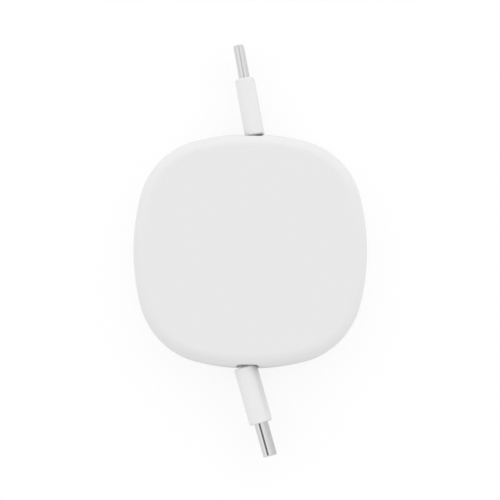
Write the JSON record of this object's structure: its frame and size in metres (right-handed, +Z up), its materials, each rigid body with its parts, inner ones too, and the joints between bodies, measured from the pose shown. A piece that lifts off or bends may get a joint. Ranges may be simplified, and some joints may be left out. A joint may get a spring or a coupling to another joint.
{
  "type": "retractable charging cable",
  "caption": "Retractable charging cable: a flat cord wound double on a sprung reel in a white rounded-square case, with a reversible plug docked at the upper edge and one at the lower.",
  "frame": {"origin": "centre of the back face, on which the case lies", "axes": "+Z up through the front face, towards the camera; +Y along the upper plug in the picture; +X to the picture's right"},
  "size_m": [0.056, 0.0995, 0.0145],
  "materials": {
    "case_white": "satin moulded white plastic with a fine grain",
    "grip_white": "matt white soft overmoulding",
    "reel_white": "natural white moulded plastic",
    "spring_steel": "blued spring strip",
    "ball_steel": "polished ball",
    "cable_jacket": "matt white flat jacket",
    "nose_steel": "nickel-plated steel",
    "carrier_black": "black glass-filled plastic",
    "contact_gold": "gold-plated copper alloy",
    "latch_steel": "stainless strip",
    "card_green": "green solder mask",
    "can_steel": "tinned steel"
  },
  "bodies": {
    "case": {"front_cover": "case_white", "rear_cover": "case_white"},
    "spool": {"reel": "reel_white", "reel_cap": "reel_white", "cable_coil": "cable_jacket", "power_spring": "spring_steel"},
    "lock_ball": {"lock_ball": "ball_steel"},
    "plug_a": {"plug_grip_a": "grip_white", "plug_shell_a": "nose_steel", "contact_carrier_a": "carrier_black", "contacts_a": "contact_gold", "latch_plate_a": "latch_steel", "paddle_card_a": "card_green", "shield_can_a": "can_steel", "cable_lead_a": "cable_jacket"},
    "plug_b": {"plug_grip_b": "grip_white", "plug_shell_b": "nose_steel", "contact_carrier_b": "carrier_black", "contacts_b": "contact_gold", "latch_plate_b": "latch_steel", "paddle_card_b": "card_green", "shield_can_b": "can_steel", "cable_lead_b": "cable_jacket"}
  },
  "joints": [
    {"name": "spool_spin", "type": "hinge", "parent": "case", "child": "spool", "pos_m": [0, 0, 0.00725], "axis": [0, 0, 1], "range_deg": [0, 1350], "stiffness_Nm_per_rad": 0.0003, "springref_deg": -687.55, "deforming": ["power_spring"]},
    {"name": "plug_a_pull", "type": "slide", "parent": "case", "child": "plug_a", "axis": [-0.1771, 0.9842, 0], "range_m": [0, 0.37], "deforming": ["cable_lead_a"]},
    {"name": "plug_b_pull", "type": "slide", "parent": "case", "child": "plug_b", "axis": [0.2706, -0.9627, 0], "range_m": [0, 0.37], "deforming": ["cable_lead_b"]},
    {"name": "lock_ball_slide", "type": "slide", "parent": "case", "child": "lock_ball", "axis": [1, 0, 0], "range_m": [0, 0.0018]}
  ],
  "couplings": [
    {"joint": "plug_a_pull", "follows": "spool_spin", "m_per_rad": 0.0157},
    {"joint": "plug_b_pull", "follows": "spool_spin", "m_per_rad": 0.0157}
  ]
}
